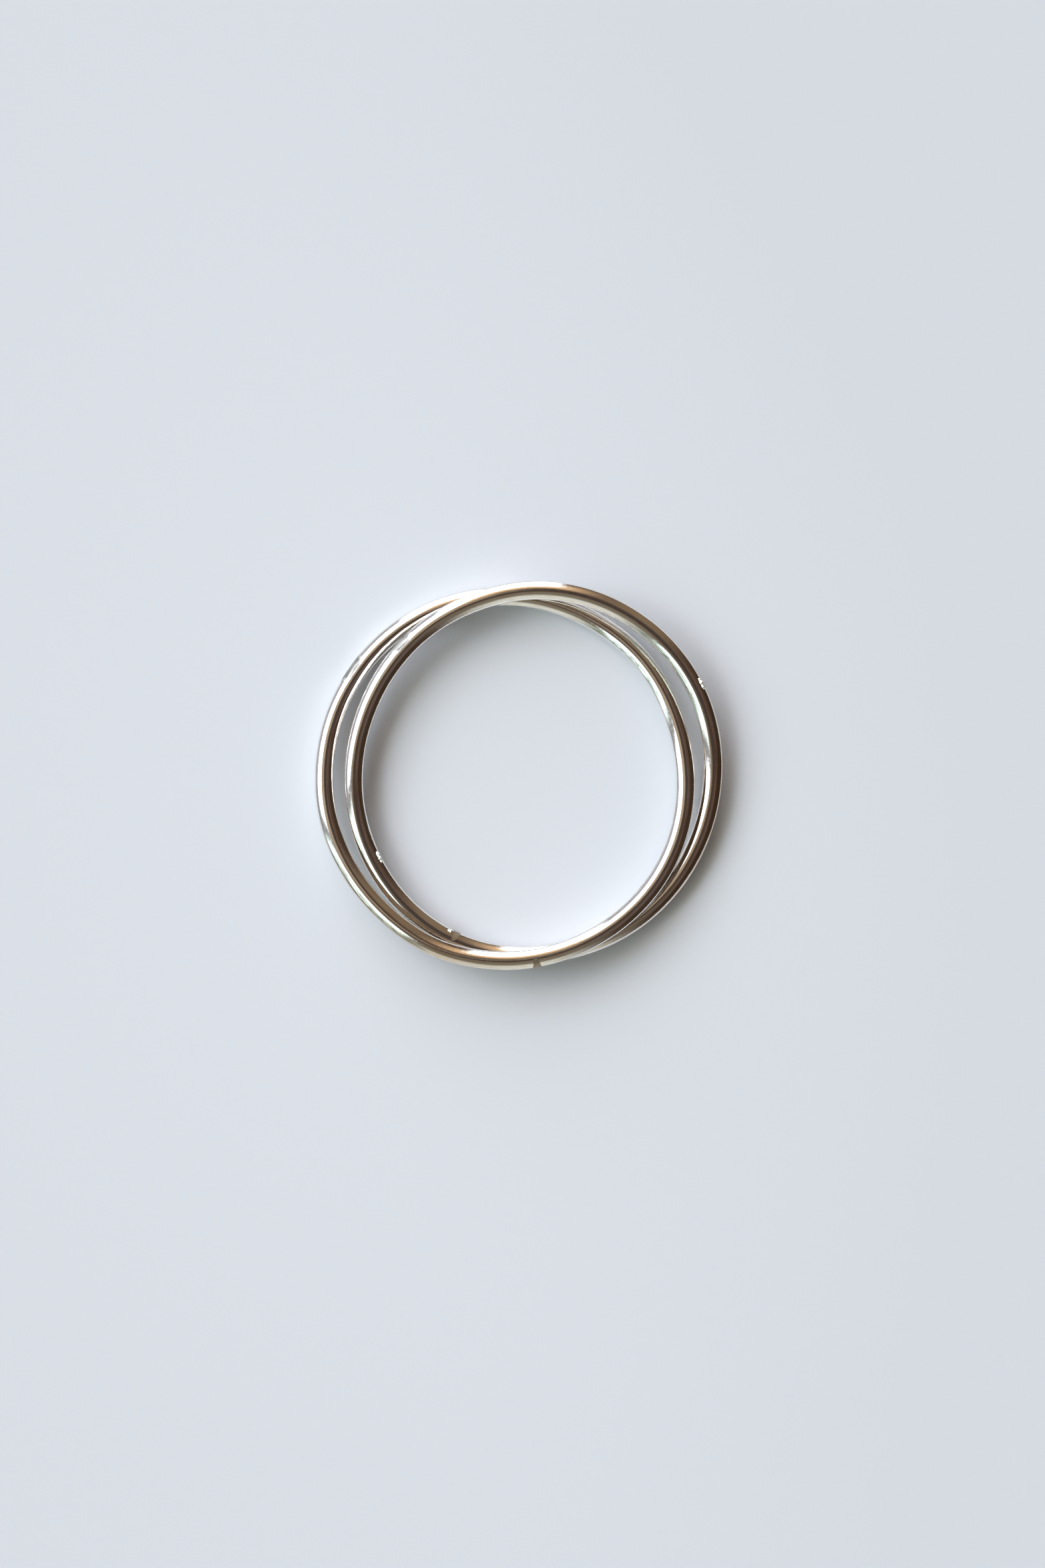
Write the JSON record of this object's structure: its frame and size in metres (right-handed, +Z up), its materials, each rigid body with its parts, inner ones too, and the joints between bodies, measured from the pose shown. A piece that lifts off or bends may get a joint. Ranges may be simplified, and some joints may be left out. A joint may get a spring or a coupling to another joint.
{
  "type": "interlinked two-band finger ring",
  "caption": "Interlinked finger ring: slim round-wire bands that pass through each other like chain links and lie one almost on the other.",
  "frame": {"origin": "on the surface that the pair rests on, below the midpoint between the two band centres", "axes": "+Z up, the way the finger goes through; +X from the left band's centre to the right band's centre; the right band passes over the left one at +Y, and the left band over the right one at -Y"},
  "size_m": [0.0218, 0.0206, 0.002],
  "materials": {
    "silver_wire": "polished",
    "silver_solder": "satin"
  },
  "bodies": {
    "left_band": {"left_band_wire": "silver_wire", "left_band_solder_joint": "silver_solder"},
    "right_band": {"right_band_wire": "silver_wire", "right_band_solder_joint": "silver_solder"}
  },
  "joints": [
    {"name": "band_swing", "type": "hinge", "parent": "left_band", "child": "right_band", "pos_m": [0, 0, 0.00103], "axis": [1, 0, 0], "range_deg": [0, 167]}
  ]
}
